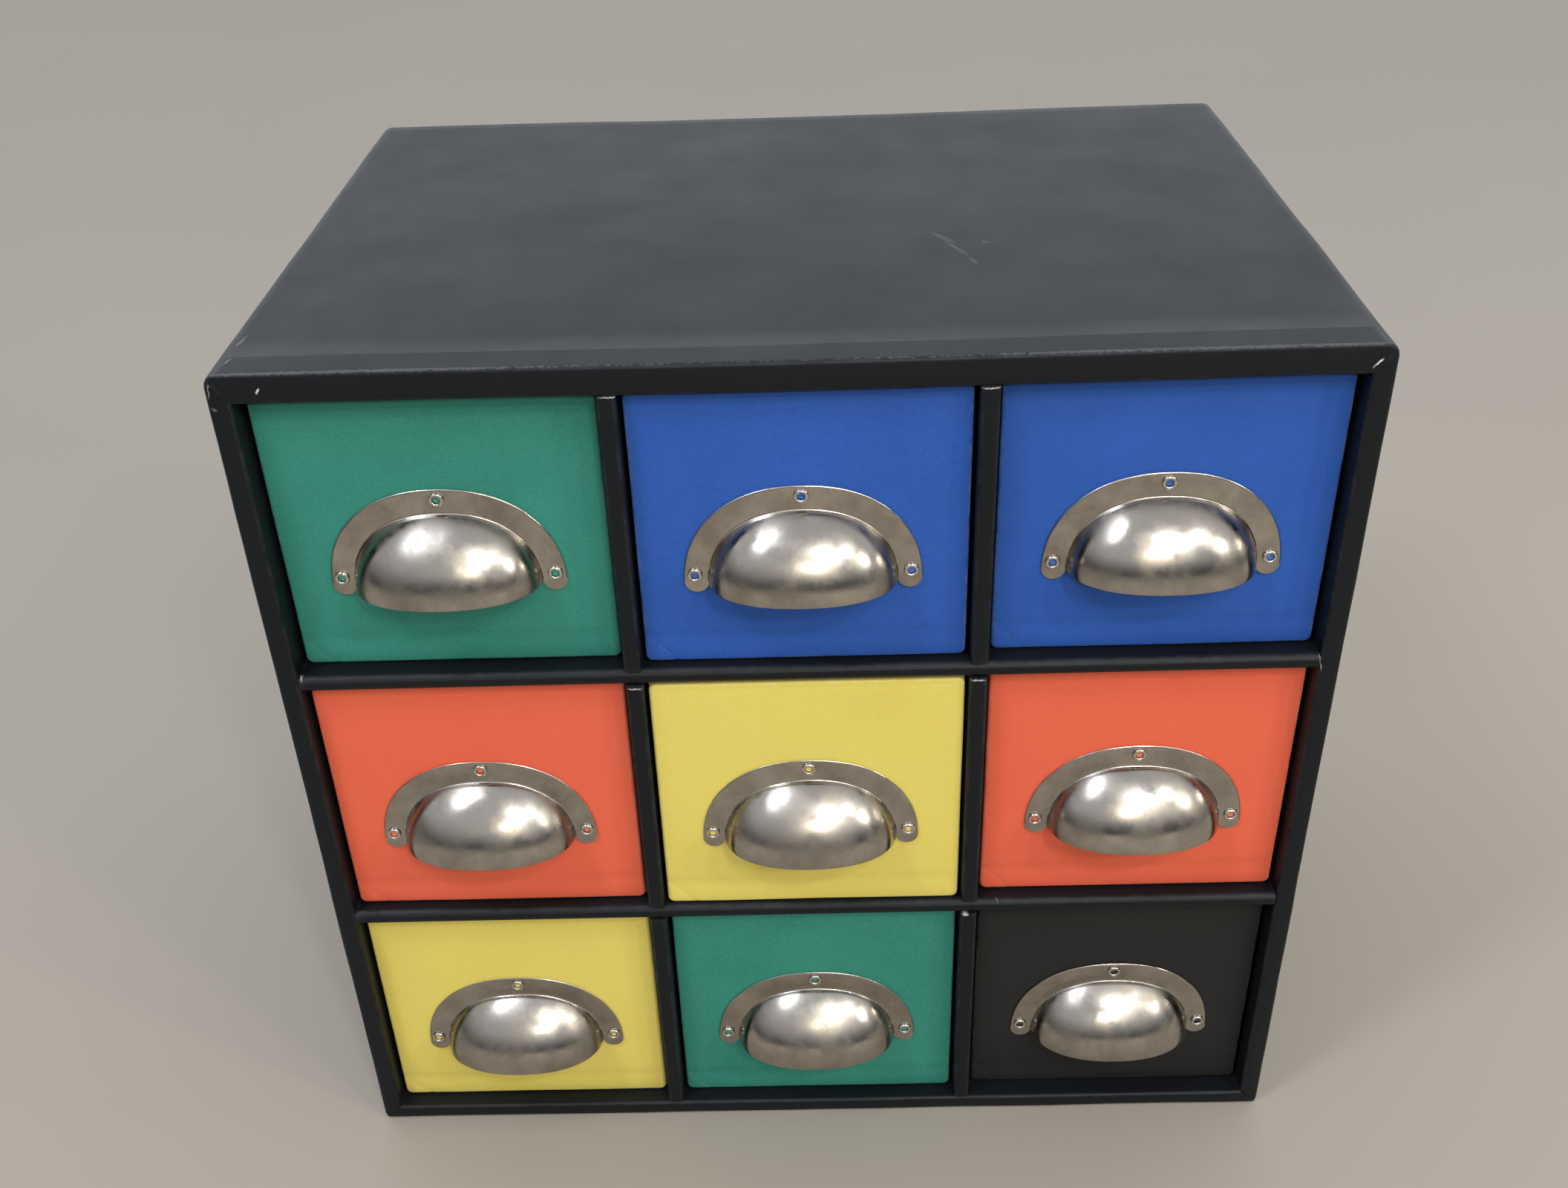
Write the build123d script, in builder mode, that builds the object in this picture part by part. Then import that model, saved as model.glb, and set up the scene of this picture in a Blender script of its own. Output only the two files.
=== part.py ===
from build123d import *
import os

# Nine-drawer cabinet of paper-covered board, each drawer with a riveted cup pull.
# The front faces -Y, +Z is up, and the origin is the middle of the underside. Sizes are in millimetres.

# Carcass
carcass_width = 350.0
carcass_height = 328.0
carcass_depth = 247.0
top_thickness = 10.0
bottom_thickness = 6.0
side_thickness = 7.0
shelf_thickness = 6.0
divider_thickness = 6.0
back_thickness = 3.0
outer_corner_radius = 3.0
front_edge_radius = 2.4
edge_radius_limit_share = 0.45

# Rows from the top down, columns from left to right, and the boards that part them
row_names = ("upper", "middle", "lower")
column_names = ("left", "centre", "right")
shelf_names = ("upper", "lower")
divider_names = ("left", "right")

# Drawers: their board, their gaps in the cell, and how far behind the carcass's front edge they stand
drawer_board = 3.0
drawer_side_gap = 1.25
drawer_top_gap = 1.5
drawer_seat_gap = 0.3
drawer_back_gap = 0.5
drawer_glue_line = 0.1
closed_recess = 9.0
rest_recess_shares = ((0.94, 0.56, 0.84), (0.62, 0.28, 0.71), (0.70, 0.69, 0.84))
front_corner_radius = 2.5
front_face_radius = 0.9

# Cup pull: a quarter of an ellipsoid on a flat flange, its lip at a share of the drawer's height
cup_half_width = 30.2
cup_rise = 26.0
cup_reach = 18.5
pull_sheet = 0.9
flange_width = 7.8
flange_rim_radius = 0.35
cup_foot_radius = 0.8
lip_height_share = 0.322

# Tubular rivets, one in each ear of the flange and one over the cup
rivet_tube_radius = 1.6
rivet_bore_radius = 1.2
rivet_head_radius = 2.45
rivet_head_height = 1.0
rivet_head_round_share = 0.45
rivet_tail_radius = 2.4
rivet_tail_height = 0.5
rivet_fit = 0.05
ear_rivet_height = 2.5

# Cells between the boards
rows = len(row_names)
columns = len(column_names)
board_depth = carcass_depth - back_thickness
cell_width = (carcass_width - 2 * side_thickness - (columns - 1) * divider_thickness) / columns
shelves_height = (rows - 1) * shelf_thickness
cell_height = (carcass_height - top_thickness - bottom_thickness - shelves_height) / rows
inner_left = -carcass_width / 2 + side_thickness
inner_right = carcass_width / 2 - side_thickness
inner_top = carcass_height - top_thickness
cell_lefts = [inner_left + column * (cell_width + divider_thickness) for column in range(columns)]
cell_floors = [bottom_thickness + row * (cell_height + shelf_thickness) for row in reversed(range(rows))]
carcass_front = Plane.XZ.offset(carcass_depth / 2)

# What a drawer takes from its cell, with depths counted back from its front face
drawer_width = cell_width - 2 * drawer_side_gap
drawer_height = cell_height - drawer_top_gap - drawer_seat_gap
drawer_length = board_depth - closed_recess - drawer_back_gap
inside_half_width = drawer_width / 2 - drawer_board
back_half_width = inside_half_width - drawer_glue_line
wall_front = -drawer_board
wall_back = -drawer_length
inside_back = wall_back + drawer_board
lip_height = lip_height_share * drawer_height

# What the flange and the rivets take from the cup and from each other
flange_half_width = cup_half_width + flange_width
flange_rise = cup_rise + flange_width
ear_radius = (flange_width + pull_sheet) / 2
ear_x = flange_half_width - ear_radius
ear_rivet_x = (cup_half_width + cup_foot_radius + flange_half_width) / 2
top_rivet_height = (cup_rise + cup_foot_radius + flange_rise) / 2
rivet_places = [(-ear_rivet_x, ear_rivet_height), (ear_rivet_x, ear_rivet_height), (0, top_rivet_height)]
rivet_hole_radius = rivet_tube_radius + rivet_fit
rivet_head_top = pull_sheet + rivet_head_height
rivet_tail_end = -drawer_board - rivet_tail_height
rivet_head_round = rivet_head_round_share * min(rivet_head_height, rivet_head_radius - rivet_bore_radius)
slug_radius = rivet_bore_radius - rivet_fit
slug_length = drawer_board + pull_sheet

os.makedirs("parts", exist_ok=True)


def export_node(piece, name):
    """Label a finished piece and write it to its own file."""
    piece.part.label = name
    export_step(piece.part, f"parts/{name}.step")


def edge_round(thickness):
    """The round that paper turned over a board's edge makes, held within the board."""
    return min(front_edge_radius, edge_radius_limit_share * thickness)


def inner_board(left, right, low, high, length_axis):
    """A shelf or divider from the front edge to the back panel, its two long front edges rounded."""
    with BuildPart() as board:
        with BuildSketch(carcass_front):
            with Locations(((left + right) / 2, (low + high) / 2)):
                Rectangle(right - left, high - low)
        extrude(amount=-board_depth)
        front_edges = board.faces().sort_by(Axis.Y)[0].edges()
        fillet(front_edges.filter_by(length_axis), edge_round(min(right - left, high - low)))
    return board


def ellipsoid(half_width, rise, reach):
    """An ellipsoid turned so that its poles and seam fall outside the quarter that a cup keeps."""
    with BuildPart() as solid:
        Sphere(1, rotation=(45, 0, -90))
        scale(by=(half_width, rise, reach))
    return solid.part


def box_between(one_corner, other_corner):
    """A box between two opposite corners, in the plane of the current block."""
    size = [abs(end - start) for start, end in zip(one_corner, other_corner)]
    with Locations(tuple((start + end) / 2 for start, end in zip(one_corner, other_corner))):
        Box(*size)


def facing_plane(x, y, z):
    """The plane of a drawer front: x across, y up and z out towards the user."""
    return Plane(origin=(x, y, z), x_dir=(1, 0, 0), z_dir=(0, -1, 0))


# Outer case, drawn once as a ring with paper turned round its front edges
thinnest_case_edge = min(top_thickness, bottom_thickness, side_thickness, 2 * outer_corner_radius)
with BuildPart() as case_pattern:
    with BuildSketch(carcass_front):
        with Locations((0, carcass_height / 2)):
            RectangleRounded(carcass_width, carcass_height, outer_corner_radius)
        with Locations((0, (bottom_thickness + inner_top) / 2)):
            Rectangle(inner_right - inner_left, inner_top - bottom_thickness, mode=Mode.SUBTRACT)
    extrude(amount=-carcass_depth)
    fillet(case_pattern.faces().sort_by(Axis.Y)[0].edges(), edge_round(thinnest_case_edge))

# Case boards, parted by mitres that run from the outer to the inner corners
bottom_left = [(-carcass_width / 2, 0), (inner_left, bottom_thickness)]
bottom_right = [(carcass_width / 2, 0), (inner_right, bottom_thickness)]
top_left = [(-carcass_width / 2, carcass_height), (inner_left, inner_top)]
top_right = [(carcass_width / 2, carcass_height), (inner_right, inner_top)]
case_boards = [
    ("top_board", top_left, top_right),
    ("bottom_board", bottom_left, bottom_right),
    ("left_side_board", bottom_left, top_left),
    ("right_side_board", bottom_right, top_right),
]
for name, start_mitre, end_mitre in case_boards:
    with BuildPart() as case_board:
        add(case_pattern.part)
        with BuildSketch(carcass_front):
            with BuildLine():
                Polyline(*start_mitre, *reversed(end_mitre), close=True)
            make_face()
        extrude(amount=-carcass_depth, mode=Mode.INTERSECT)
    export_node(case_board, name)

# Back panel, set in flush between the case boards
with BuildPart() as back_board:
    with BuildSketch(carcass_front.offset(-board_depth)):
        with Locations((0, (bottom_thickness + inner_top) / 2)):
            Rectangle(inner_right - inner_left, inner_top - bottom_thickness)
    extrude(amount=-back_thickness)
export_node(back_board, "back_board")

# Shelves, one under each row but the lowest
for shelf_name, floor in zip(shelf_names, cell_floors):
    shelf = inner_board(inner_left, inner_right, floor - shelf_thickness, floor, Axis.X)
    export_node(shelf, f"{shelf_name}_shelf")

# Short dividers between the shelves, on the left of each column but the first
for row_name, floor in zip(row_names, cell_floors):
    for divider_name, left in zip(divider_names, cell_lefts[1:]):
        divider = inner_board(left - divider_thickness, left, floor, floor + cell_height, Axis.Z)
        export_node(divider, f"{row_name}_{divider_name}_divider")

# Cup pull, drawn once: x across, y up from the lip, z out of the drawer front
cup_outside = ellipsoid(cup_half_width, cup_rise, cup_reach)
cup_inside = ellipsoid(cup_half_width - pull_sheet, cup_rise - pull_sheet, cup_reach - pull_sheet)
with BuildPart() as pull_pattern:
    add(cup_outside)
    add(cup_inside, mode=Mode.SUBTRACT)
    kept_corner = (Align.CENTER, Align.MIN, Align.MIN)
    Box(2 * flange_half_width, flange_rise, 2 * cup_reach, align=kept_corner, mode=Mode.INTERSECT)
    with BuildSketch():
        Ellipse(flange_half_width, flange_rise)
        Ellipse(cup_half_width - pull_sheet, cup_rise - pull_sheet, mode=Mode.SUBTRACT)
        with Locations((0, -flange_rise / 2)):
            Rectangle(2 * flange_half_width, flange_rise, mode=Mode.SUBTRACT)
        with Locations((-ear_x, 0), (ear_x, 0)):
            Circle(ear_radius)
    extrude(amount=pull_sheet)
    flange_face = pull_pattern.faces().filter_by(Plane.XY).sort_by(Axis.Z)[-1]
    fillet(flange_face.edges().filter_by(GeomType.BSPLINE), cup_foot_radius)
    flange_face = pull_pattern.faces().filter_by(Plane.XY).sort_by(Axis.Z)[-1]
    rim = flange_face.edges().filter_by(GeomType.ELLIPSE) + flange_face.edges().filter_by(GeomType.CIRCLE)
    fillet(rim, flange_rim_radius)
    with Locations(*rivet_places):
        Hole(rivet_hole_radius)

# Tubular rivet, drawn once on its axis: rolled over the flange, clenched behind the drawer front
with BuildPart() as rivet_pattern:
    with BuildSketch(Plane.XZ) as rivet_section:
        with BuildLine():
            Polyline(
                (rivet_bore_radius, rivet_tail_end),
                (rivet_tail_radius, rivet_tail_end),
                (rivet_tail_radius, -drawer_board),
                (rivet_tube_radius, -drawer_board),
                (rivet_tube_radius, pull_sheet),
                (rivet_head_radius, pull_sheet),
                (rivet_head_radius, rivet_head_top),
                (rivet_bore_radius, rivet_head_top),
                close=True,
            )
        make_face()
        fillet(rivet_section.vertices().sort_by(Axis.Y)[-2:], rivet_head_round)
    revolve(axis=Axis.Z)

# Drawers
for row, row_name in enumerate(row_names):
    for column, column_name in enumerate(column_names):
        place = f"{row_name}_{column_name}"
        recess = rest_recess_shares[row][column] * closed_recess
        middle_x = cell_lefts[column] + cell_width / 2
        front_y = recess - carcass_depth / 2
        low_z = cell_floors[row] + drawer_seat_gap
        front_plane = facing_plane(middle_x, front_y, low_z)
        pull_plane = facing_plane(middle_x, front_y, low_z + lip_height)

        with BuildPart(pull_plane) as front:
            with BuildSketch(front_plane):
                with Locations((0, drawer_height / 2)):
                    RectangleRounded(drawer_width, drawer_height, front_corner_radius)
            extrude(amount=-drawer_board)
            fillet(front.faces().sort_by(Axis.Y)[0].edges(), front_face_radius)
            with Locations(*rivet_places):
                Hole(rivet_hole_radius)
            with Locations(*[(x, y, pull_sheet) for x, y in rivet_places]):
                Cylinder(slug_radius, slug_length, align=(Align.CENTER, Align.CENTER, Align.MAX))
        export_node(front, f"{place}_drawer_front")

        with BuildPart(front_plane) as walls:
            for side in (-1, 1):
                inner_low = (side * inside_half_width, 0, wall_back)
                box_between(inner_low, (side * drawer_width / 2, drawer_height, wall_front))
            back_low = (-back_half_width, 0, wall_back)
            box_between(back_low, (back_half_width, drawer_height, inside_back))
        export_node(walls, f"{place}_drawer_walls")

        with BuildPart(front_plane) as bottom:
            bottom_low = (-inside_half_width, 0, inside_back)
            box_between(bottom_low, (inside_half_width, drawer_board, wall_front))
        export_node(bottom, f"{place}_drawer_bottom")

        with BuildPart(pull_plane) as pull:
            add(pull_pattern.part)
        export_node(pull, f"{place}_cup_pull")

        with BuildPart(pull_plane) as rivets:
            with Locations(*rivet_places):
                add(rivet_pattern.part)
        export_node(rivets, f"{place}_pull_rivets")
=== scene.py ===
"""Nine-drawer cabinet of paper-covered board with riveted cup pulls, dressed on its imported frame."""
import bmesh
import bpy
import logging
import math
from collections.abc import Callable, Iterable
from dataclasses import dataclass, field
from enum import Enum
from itertools import pairwise
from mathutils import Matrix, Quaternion, Vector


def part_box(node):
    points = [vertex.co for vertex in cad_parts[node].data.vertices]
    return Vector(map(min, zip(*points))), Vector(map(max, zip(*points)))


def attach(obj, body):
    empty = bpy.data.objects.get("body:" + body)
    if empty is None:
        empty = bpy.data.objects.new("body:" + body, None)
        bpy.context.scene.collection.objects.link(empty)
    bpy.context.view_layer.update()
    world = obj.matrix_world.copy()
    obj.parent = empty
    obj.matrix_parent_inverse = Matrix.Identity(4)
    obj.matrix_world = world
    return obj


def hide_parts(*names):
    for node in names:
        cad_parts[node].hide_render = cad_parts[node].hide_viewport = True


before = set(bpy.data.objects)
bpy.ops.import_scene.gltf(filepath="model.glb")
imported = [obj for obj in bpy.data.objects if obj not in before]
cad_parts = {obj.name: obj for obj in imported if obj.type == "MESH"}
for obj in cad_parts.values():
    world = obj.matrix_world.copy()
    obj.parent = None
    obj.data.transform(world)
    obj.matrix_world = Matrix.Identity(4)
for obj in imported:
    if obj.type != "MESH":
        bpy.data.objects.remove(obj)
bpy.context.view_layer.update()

logging.basicConfig(level=logging.INFO, format="%(message)s")
log = logging.getLogger("drawer_cabinet")

Socket = bpy.types.NodeSocket
Tree = bpy.types.NodeTree
Material = bpy.types.Material
Piece = bpy.types.Object
Edge = bmesh.types.BMEdge
Vertex = bmesh.types.BMVert
Span = tuple[float, float]
Triple = tuple[float, float, float]

MM = 0.001
X_AXIS = Vector((1.0, 0.0, 0.0))
Y_AXIS = Vector((0.0, 1.0, 0.0))
Z_AXIS = Vector((0.0, 0.0, 1.0))
AXES = (X_AXIS, Y_AXIS, Z_AXIS)
UNIT_SPAN = (0.0, 1.0)

# Distances in metres within which picks and cuts take two places as one
NEAR = 0.02 * MM
CUT_REACH = 1e-6
# Cosine above which a direction counts as along an axis
ALONG = 0.9
# Angle between two faces above which their edge is rounded
SHARP_DEGREES = 45.0
# Segments of a wide, a narrow and a hair-fine round
WIDE_STEPS, NARROW_STEPS, FINE_STEPS = 4, 3, 2
# A point off every plane of symmetry, from which no two vertices of a piece are equally far
SORT_FROM = Vector((0.71, -1.13, 0.37))

# Vertex attribute for pale edges, partly wear and partly a painted highlight, how far in from an edge they
# fade out in metres, and the angles between neighbouring faces at which an edge starts to turn pale and turns
# fully pale
EDGE_TURN = "edge_turn"
WEAR_AND_SHEEN_WIDTH = 1.5 * MM
WEAR_AND_SHEEN_DEGREES = (9.0, 20.0)
# Angle above which an edge stays crisp, on paper and on metal
PAPER_CRISP_DEGREES = 35.0
METAL_CRISP_DEGREES = 50.0

# Thickness of the pulls' sheet and of the drawers' board, in millimetres
PULL_SHEET = 0.9
DRAWER_BOARD = 3.0

# The cabinet's front plane
FRONT_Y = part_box("top_board")[0].y


class Element(Enum):
    """What a pick in edit mode selects."""

    VERTEX = "VERT"
    EDGE = "EDGE"
    FACE = "FACE"


class Slot(Enum):
    """Material slots of the record."""

    BLACK = "black_paper_board"
    GREEN = "green_paper_board"
    BLUE = "blue_paper_board"
    ORANGE = "orange_paper_board"
    YELLOW = "yellow_paper_board"
    CHARCOAL = "charcoal_paper_board"
    NICKEL = "nickel_plate"
    RIVET = "rivet_nickel"


class Face(Enum):
    """The face of the cabinet that a mark lies on, with the number of the axis that it is turned about."""

    FRONT = 1
    TOP = 2


class Blend(Enum):
    """What a Mix node mixes, with the numbers of its two inputs and of its output."""

    FLOAT = (2, 3, 0)
    RGBA = (6, 7, 2)


CABINET_BODY = "cabinet"
DRAWER_SLOTS = {
    "upper_left": Slot.GREEN,
    "upper_centre": Slot.BLUE,
    "upper_right": Slot.BLUE,
    "middle_left": Slot.ORANGE,
    "middle_centre": Slot.YELLOW,
    "middle_right": Slot.ORANGE,
    "lower_left": Slot.YELLOW,
    "lower_centre": Slot.GREEN,
    "lower_right": Slot.CHARCOAL,
}

# The case's boards, each with the two corners at which it is mitred
CASE_BOARDS = {
    "top_board": (("left", "top"), ("right", "top")),
    "bottom_board": (("left", "bottom"), ("right", "bottom")),
    "left_side_board": (("left", "top"), ("left", "bottom")),
    "right_side_board": (("right", "top"), ("right", "bottom")),
}


def linear(hex_colour: str) -> tuple[float, float, float, float]:
    """Turn an sRGB hex colour into the linear colour that nodes take.

    Args:
        hex_colour: Six hex digits after a hash sign.

    Returns:
        Linear red, green, blue and an alpha of one.
    """
    channels = [int(hex_colour[start:start + 2], 16) / 255 for start in (1, 3, 5)]
    red, green, blue = [c / 12.92 if c <= 0.04045 else ((c + 0.055) / 1.055) ** 2.4 for c in channels]
    return red, green, blue, 1.0


def add_node(tree: Tree, kind: str, inputs: dict | None = None, **settings: object) -> bpy.types.Node:
    """Add a node with its settings and links.

    Args:
        tree: Tree that gets the node.
        kind: Blender's name for the kind of node.
        inputs: Values or sockets for the node's inputs, by name or number.
        settings: Values of the node's own properties.

    Returns:
        The new node.
    """
    node = tree.nodes.new(kind)
    for name, value in settings.items():
        setattr(node, name, value)
    for name, value in (inputs or {}).items():
        if isinstance(value, Socket):
            tree.links.new(value, node.inputs[name])
        else:
            node.inputs[name].default_value = value
    return node


def mix(tree: Tree, blend: Blend, share: object, one: object, other: object) -> Socket:
    """Mix two values or colours, each given as such or as a socket, by the share of the second."""
    first, second, result = blend.value
    return add_node(tree, "ShaderNodeMix", {0: share, first: one, second: other},
                    data_type=blend.name).outputs[result]


def spread(tree: Tree, value: Socket, source: Span, target: Span = UNIT_SPAN,
           curve: str = "LINEAR") -> Socket:
    """Stretch one range of a value to another, level outside it, along one of Blender's curves."""
    limits = dict(zip(("From Min", "From Max", "To Min", "To Max"), (*source, *target)))
    return add_node(tree, "ShaderNodeMapRange", {"Value": value, **limits},
                    interpolation_type=curve).outputs[0]


def new_material(name: str) -> tuple[Material, Tree, Socket]:
    """Start a material with an empty tree.

    Args:
        name: The material's common name.

    Returns:
        The material, its tree, and the Object coordinates that its patterns read.
    """
    material = bpy.data.materials.new(name)
    material.use_nodes = True
    tree = material.node_tree
    tree.nodes.clear()
    return material, tree, add_node(tree, "ShaderNodeTexCoord").outputs["Object"]


def close_material(tree: Tree, inputs: dict) -> None:
    """Add the shader with its inputs and send it to the material's output."""
    shader = add_node(tree, "ShaderNodeBsdfPrincipled", inputs)
    add_node(tree, "ShaderNodeOutputMaterial", {"Surface": shader.outputs[0]})


@dataclass(frozen=True)
class Grain:
    """A noise pattern: the size of its spots, how many finer layers it has, and how strong they are."""

    size_mm: float
    detail: float = 2.0
    roughness: float = 0.5

    def add(self, tree: Tree, place: Socket, output: str = "Fac") -> Socket:
        """Add the pattern to a tree at the coordinates given, and give its value or its colour."""
        return add_node(tree, "ShaderNodeTexNoise", {
            "Vector": place, "Scale": 1 / (self.size_mm * MM), "Detail": self.detail,
            "Roughness": self.roughness}).outputs[output]


@dataclass(frozen=True)
class Mark:
    """A spot where the covering paper is torn or rubbed and its pale core shows.

    The place is in millimetres, across from the middle, back from the front edge, and up from the floor.
    """

    across: float
    back: float
    up: float
    length: float
    width: float
    lean_degrees: float = 0.0
    amount: float = 1.0
    depth: float = 3.0
    face: Face = Face.FRONT

    def place(self) -> Triple:
        """Give the mark's place in metres."""
        return self.across * MM, FRONT_Y + self.back * MM, self.up * MM

    def turn(self) -> Triple:
        """Give the mark's turn as Euler angles."""
        lean = math.radians(-self.lean_degrees if self.face is Face.FRONT else self.lean_degrees)
        return tuple(lean if axis == self.face.value else 0.0 for axis in range(3))

    def half_sizes(self) -> Triple:
        """Give the mark's half sizes along its own axes, in metres."""
        flat = (self.depth, self.width) if self.face is Face.FRONT else (self.width, self.depth)
        return tuple(size * MM / 2 for size in (self.length, *flat))


@dataclass(frozen=True)
class BookPaper:
    """Matt uncoated paper glued over board: fibre tooth, faint mottling, and pale edges where it turns,
    partly wear and partly a painted highlight.
    """

    name: str
    face_hex: str
    shade_hex: str
    # Colour and share of the pale edges: partly rubbed wear, partly a painted highlight of edges catching the
    # light
    worn_and_sheen_hex: str
    roughness: float
    worn_and_sheen_share: float
    marks: tuple[Mark, ...] = ()
    specular: float = 0.2
    torn_hex: str = "#D8D8D6"
    mottle: Grain = Grain(34.0, 5.0, 0.6)
    mottle_span: Span = (0.3, 0.7)
    roughness_swing: float = 0.04
    # Paper tooth is about 0.2 mm and is drawn at 0.9 mm, as coarse as it needs to show
    tooth: Grain = Grain(0.9, 3.0, 0.7)
    tooth_height_mm: float = 0.05
    tooth_strength: float = 0.35
    fleck_share: float = 0.6
    fleck_span: Span = (0.34, 0.66)
    wear_and_sheen_patches: Grain = Grain(6.0, 6.0, 0.65)
    wear_and_sheen_patch_span: Span = (0.36, 0.62)
    rag: Grain = Grain(1.2)
    rag_reach_mm: float = 1.1
    # A mark fades in between these shares of its half size
    mark_span: Span = (1.15, 0.6)

    def make(self) -> Material:
        """Build the paper's material.

        Returns:
            The material.
        """
        material, tree, place = new_material(self.name)
        mottle = self.mottle.add(tree, place)
        tooth = self.tooth.add(tree, place)
        fleck = spread(tree, mix(tree, Blend.FLOAT, self.fleck_share, mottle, tooth), self.fleck_span)
        colour = mix(tree, Blend.RGBA, fleck, linear(self.shade_hex), linear(self.face_hex))

        # Pale edges where the paper turns: partly rubbed wear, partly a painted highlight of edges catching
        # the light
        turn = add_node(tree, "ShaderNodeAttribute", attribute_name=EDGE_TURN).outputs["Fac"]
        wear_and_sheen_patches = self.wear_and_sheen_patches.add(tree, place)
        wear_and_sheen_mask = add_node(tree, "ShaderNodeMath", {0: turn, 1: wear_and_sheen_patches}, operation="MULTIPLY")
        worn_and_sheen = spread(tree, wear_and_sheen_mask.outputs[0], self.wear_and_sheen_patch_span, (0.0, self.worn_and_sheen_share))
        colour = mix(tree, Blend.RGBA, worn_and_sheen, colour, linear(self.worn_and_sheen_hex))
        if self.marks:
            colour = mix(tree, Blend.RGBA, self.torn_mask(tree, place), colour, linear(self.torn_hex))

        swing = (self.roughness - self.roughness_swing, self.roughness + self.roughness_swing)
        bump = add_node(tree, "ShaderNodeBump", {
            "Height": tooth, "Strength": self.tooth_strength, "Distance": self.tooth_height_mm * MM})
        close_material(tree, {
            "Base Color": colour, "Roughness": spread(tree, mottle, self.mottle_span, swing),
            "Specular IOR Level": self.specular, "Normal": bump.outputs["Normal"]})
        return material

    def torn_mask(self, tree: Tree, place: Socket) -> Socket:
        """Gather the marks into one mask with ragged edges.

        Args:
            tree: The paper's tree.
            place: Object coordinates.

        Returns:
            A socket that is up to one on torn spots and zero elsewhere.
        """
        # Noise runs from zero to one, so half is taken off to shift both ways
        shift = add_node(tree, "ShaderNodeVectorMath", {
            0: self.rag.add(tree, place, "Color"), 1: (-0.5, -0.5, -0.5)}, operation="ADD")
        scaled = add_node(tree, "ShaderNodeVectorMath", {
            0: shift.outputs[0], "Scale": self.rag_reach_mm * MM}, operation="SCALE")
        jagged = add_node(tree, "ShaderNodeVectorMath", {0: place, 1: scaled.outputs[0]}, operation="ADD")
        mask = None
        for mark in self.marks:
            centred = add_node(tree, "ShaderNodeMapping", {
                "Vector": jagged.outputs[0], "Location": mark.place(), "Rotation": mark.turn(),
                "Scale": mark.half_sizes()}, vector_type="TEXTURE")
            reach = add_node(tree, "ShaderNodeVectorMath", {0: centred.outputs[0]}, operation="LENGTH")
            spot = spread(tree, reach.outputs["Value"], self.mark_span, (0.0, mark.amount))
            if mask:
                spot = add_node(tree, "ShaderNodeMath", {0: mask, 1: spot}, operation="MAXIMUM").outputs[0]
            mask = spot
        return mask


@dataclass(frozen=True)
class NickelPlate:
    """Bright nickel plate on pressed steel, hazed and faintly streaked by handling."""

    name: str
    face_hex: str
    haze_hex: str
    smooth: float
    hazy: float
    haze: Grain = Grain(11.0, 6.0, 0.62)
    haze_span: Span = (0.32, 0.68)
    # Polishing lines are finer than 0.1 mm and are drawn at 0.7 mm, as coarse as they need to show
    streak: Grain = Grain(0.7, 3.0)
    streak_stretch: Triple = (1.0, 1.0, 0.08)
    streak_height_mm: float = 0.012
    streak_strength: float = 0.25

    def make(self) -> Material:
        """Build the plate's material.

        Returns:
            The material.
        """
        material, tree, place = new_material(self.name)
        haze = spread(tree, self.haze.add(tree, place), self.haze_span)
        drawn = add_node(tree, "ShaderNodeMapping", {"Vector": place, "Scale": self.streak_stretch})
        bump = add_node(tree, "ShaderNodeBump", {
            "Height": self.streak.add(tree, drawn.outputs[0]),
            "Strength": self.streak_strength, "Distance": self.streak_height_mm * MM})
        close_material(tree, {
            "Base Color": mix(tree, Blend.RGBA, haze, linear(self.face_hex), linear(self.haze_hex)),
            "Metallic": 1.0, "Roughness": spread(tree, haze, UNIT_SPAN, (self.smooth, self.hazy)),
            "Normal": bump.outputs["Normal"]})
        return material


@dataclass(frozen=True)
class PaleFloor:
    """Plain pale matt floor under the cabinet, which gives the eye only a soft shadow to stand it on."""

    name: str = "pale_matt_floor"
    face_hex: str = "#999184"
    shade_hex: str = "#948C7F"
    cloud: Grain = Grain(300.0)
    roughness: float = 0.7

    def make(self) -> Material:
        """Build the floor's material.

        Returns:
            The material.
        """
        material, tree, place = new_material(self.name)
        cloud = self.cloud.add(tree, place)
        close_material(tree, {
            "Base Color": mix(tree, Blend.RGBA, cloud, linear(self.face_hex), linear(self.shade_hex)),
            "Roughness": self.roughness})
        return material


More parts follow.
